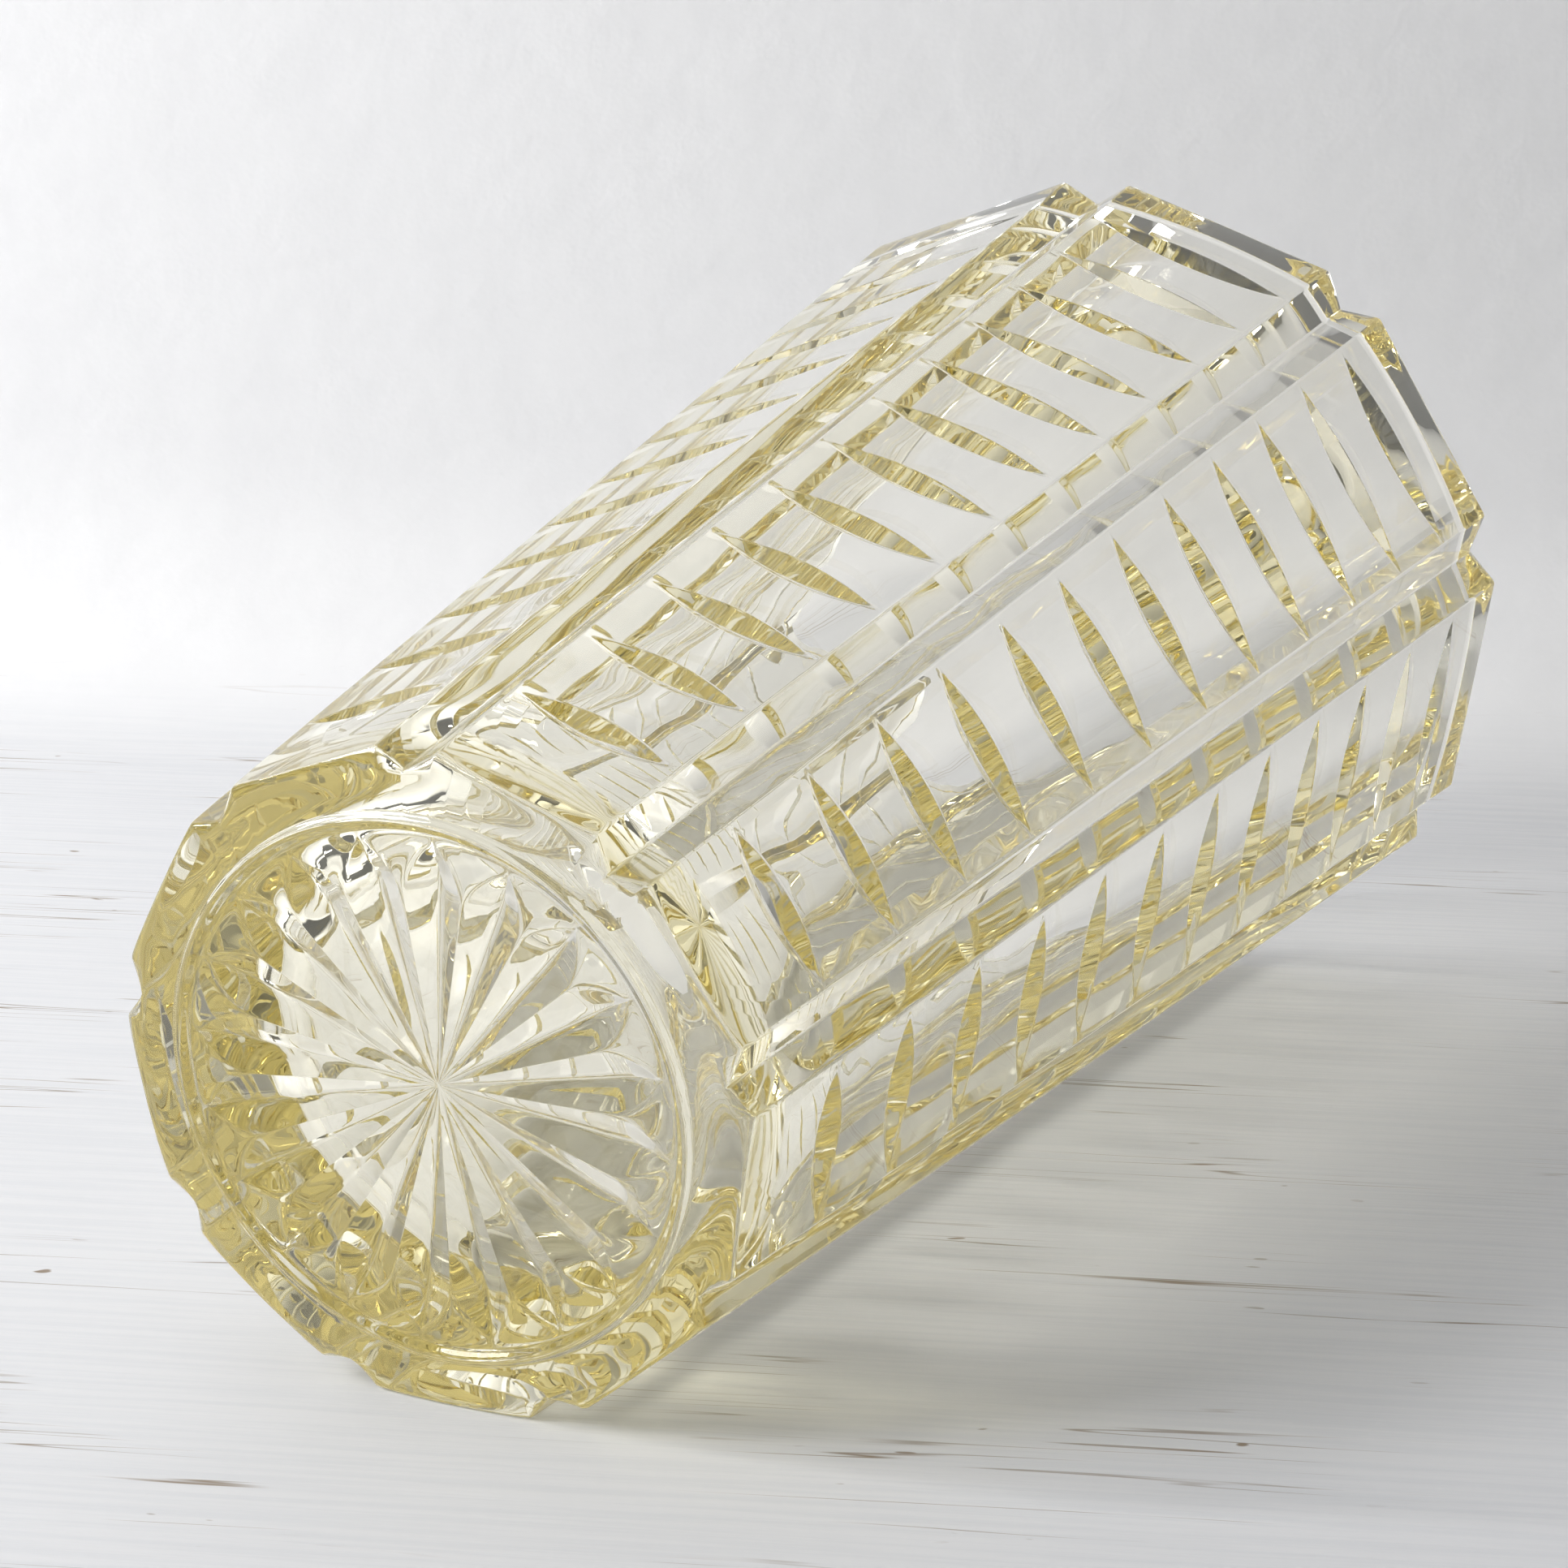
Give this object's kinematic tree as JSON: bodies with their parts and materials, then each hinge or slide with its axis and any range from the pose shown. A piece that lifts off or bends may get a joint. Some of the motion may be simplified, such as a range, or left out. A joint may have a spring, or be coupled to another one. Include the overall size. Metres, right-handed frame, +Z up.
{
  "type": "pressed glass flower vase",
  "caption": "Tall panelled flower vase of thick tinted glass, widening from foot to rim, with leaf-shaped cuts up each panel and a rayed star under the foot.",
  "frame": {"origin": "middle of the plane that the foot ring rests on", "axes": "+Z up along the vase's axis from foot to rim, +Y out through the middle of one flat panel, -Y out through the notch opposite it"},
  "size_m": [0.132, 0.1299, 0.22],
  "materials": {
    "tinted_glass": "clear pressed glass, fire polished, pale straw tint"
  },
  "bodies": {
    "root": {"body": "tinted_glass"}
  },
  "joints": []
}
